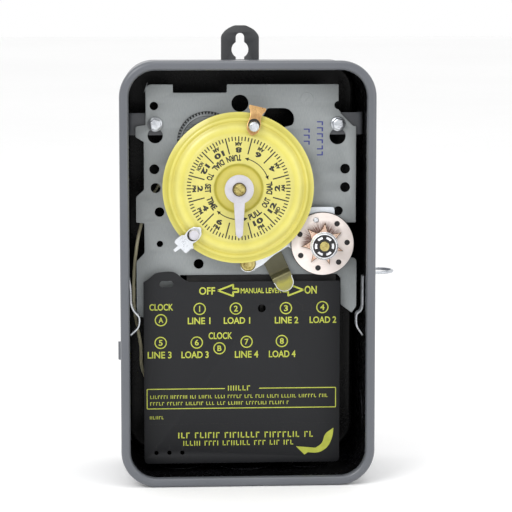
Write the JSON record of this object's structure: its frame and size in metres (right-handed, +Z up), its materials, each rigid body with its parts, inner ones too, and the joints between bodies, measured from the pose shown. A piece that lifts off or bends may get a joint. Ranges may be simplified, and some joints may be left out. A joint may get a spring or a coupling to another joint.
{
  "type": "programmable timer",
  "caption": "Mechanical time switch with a pull-to-set daily dial, clip-on trippers, a manual lever and a skip-a-day wheel in an open drawn steel wall case.",
  "frame": {"origin": "centre of the case's flat back, on the wall plane", "axes": "+Z up the case's long side, +Y into the wall, +X to the viewer's right; the open front faces -Y"},
  "size_m": [0.1397, 0.076, 0.2291],
  "materials": {
    "case_paint": "grey enamel outside and on the lip",
    "tab_paint": "dark grey enamel",
    "zinc_steel": "dull zinc-plated steel",
    "bright_zinc": "bright zinc-plated steel",
    "white_zinc": "pale passivated zinc",
    "brass": "turned brass",
    "gold_steel": "yellow-passivated steel",
    "copper": "spring copper",
    "phenolic": "moulded phenolic",
    "dial_yellow": "enamelled yellow with black print",
    "pointer_cream": "cream enamel",
    "lever_steel": "yellowish plated steel",
    "wheel_plate": "pinkish plated steel with brown rub marks",
    "black_steel": "blackened steel",
    "insulator_sheet": "charcoal sheet with yellow-green print",
    "lead_sleeve": "cream wire sleeve"
  },
  "bodies": {
    "case": {"case_shell": "case_paint", "hanger_tab": "tab_paint", "left_plate_bracket": "zinc_steel", "right_plate_bracket": "zinc_steel", "left_spring_clip": "bright_zinc", "right_spring_clip": "bright_zinc", "padlock_staple": "bright_zinc", "lid_hinge_pin": "zinc_steel", "mechanism_plate": "zinc_steel", "left_plate_screw": "bright_zinc", "right_plate_screw": "bright_zinc", "clock_motor": "zinc_steel", "gear_post": "brass", "dial_spindle": "brass", "pointer": "pointer_cream", "pointer_screw": "brass", "skip_bracket": "white_zinc", "bracket_stud": "brass", "wheel_post": "brass", "push_nut": "black_steel", "terminal_block": "phenolic", "fixed_contact_1": "copper", "fixed_contact_2": "copper", "fixed_contact_3": "copper", "fixed_contact_4": "copper", "terminal_screw_a": "brass", "terminal_screw_1": "brass", "terminal_screw_2": "brass", "terminal_screw_3": "brass", "terminal_screw_4": "brass", "terminal_screw_5": "brass", "terminal_screw_6": "brass", "terminal_screw_b": "brass", "terminal_screw_7": "brass", "terminal_screw_8": "brass", "motor_lead": "lead_sleeve"},
    "pinion": {"motor_pinion": "brass"},
    "reduction": {"reduction_gear": "zinc_steel"},
    "drive": {"dial_gear": "brass", "dial_spring": "bright_zinc"},
    "dial_carrier": {"dial_sleeve": "brass"},
    "dial_body": {"dial": "dial_yellow"},
    "on_clip": {"on_tripper": "gold_steel", "on_tripper_screw": "bright_zinc"},
    "off_clip": {"off_tripper": "bright_zinc", "off_tripper_screw": "brass"},
    "lever": {"manual_lever": "lever_steel", "lever_shaft": "bright_zinc", "switch_cam": "phenolic"},
    "switch_bar": {"contact_bar": "phenolic", "moving_contact_1": "copper", "moving_contact_2": "copper", "moving_contact_3": "copper", "moving_contact_4": "copper"},
    "skip_wheel": {"skip_disc": "wheel_plate", "skip_star": "copper", "skip_pin": "bright_zinc"},
    "insulator_sheet": {"insulator": "insulator_sheet"}
  },
  "joints": [
    {"name": "motor_pinion_turn", "type": "hinge", "parent": "case", "child": "pinion", "pos_m": [-0.0086, -0.045, 0.0516], "axis": [0, 1, 0], "continuous": true},
    {"name": "reduction_gear_turn", "type": "hinge", "parent": "case", "child": "reduction", "pos_m": [-0.0193, -0.0525, 0.0653], "axis": [0, 1, 0], "continuous": true},
    {"name": "dial_gear_turn", "type": "hinge", "parent": "case", "child": "drive", "pos_m": [-0.0042, -0.054, 0.0427], "axis": [0, 1, 0], "continuous": true},
    {"name": "dial_pull", "type": "slide", "parent": "case", "child": "dial_carrier", "axis": [0, -1, 0], "range_m": [0, 0.003], "stiffness_N_per_m": 300, "springref_m": -0.002},
    {"name": "dial_turn", "type": "hinge", "parent": "dial_carrier", "child": "dial_body", "pos_m": [-0.0042, -0.06, 0.0427], "axis": [0, 1, 0], "continuous": true},
    {"name": "on_tripper_set", "type": "hinge", "parent": "dial_body", "child": "on_clip", "pos_m": [-0.0042, -0.06, 0.0427], "axis": [0, 1, 0], "range_deg": [-65, 65]},
    {"name": "off_tripper_set", "type": "hinge", "parent": "dial_body", "child": "off_clip", "pos_m": [-0.0042, -0.06, 0.0427], "axis": [0, 1, 0], "range_deg": [-65, 65]},
    {"name": "manual_lever_throw", "type": "hinge", "parent": "case", "child": "lever", "pos_m": [0.008, -0.052, 0.0184], "axis": [0, 1, 0], "range_deg": [0, 50]},
    {"name": "contact_bar_slide", "type": "slide", "parent": "case", "child": "switch_bar", "axis": [-1, 0, 0], "range_m": [0, 0.0086]},
    {"name": "skip_wheel_turn", "type": "hinge", "parent": "case", "child": "skip_wheel", "pos_m": [0.0386, -0.0565, 0.0137], "axis": [0, 1, 0], "continuous": true},
    {"name": "insulator_lift_and_swing", "type": "hinge", "parent": "case", "child": "insulator_sheet", "pos_m": [-0.0403, -0.058, -0.0064], "axis": [-0.9524, 0.3048, 0], "range_deg": [0, 95]}
  ],
  "couplings": [
    {"joint": "dial_gear_turn", "follows": "dial_turn", "ratio": 1},
    {"joint": "reduction_gear_turn", "follows": "dial_turn", "ratio": -9},
    {"joint": "motor_pinion_turn", "follows": "dial_turn", "ratio": 63},
    {"joint": "skip_wheel_turn", "follows": "dial_turn", "ratio": -0.14286},
    {"joint": "contact_bar_slide", "follows": "manual_lever_throw", "m_per_rad": 0.0097}
  ]
}
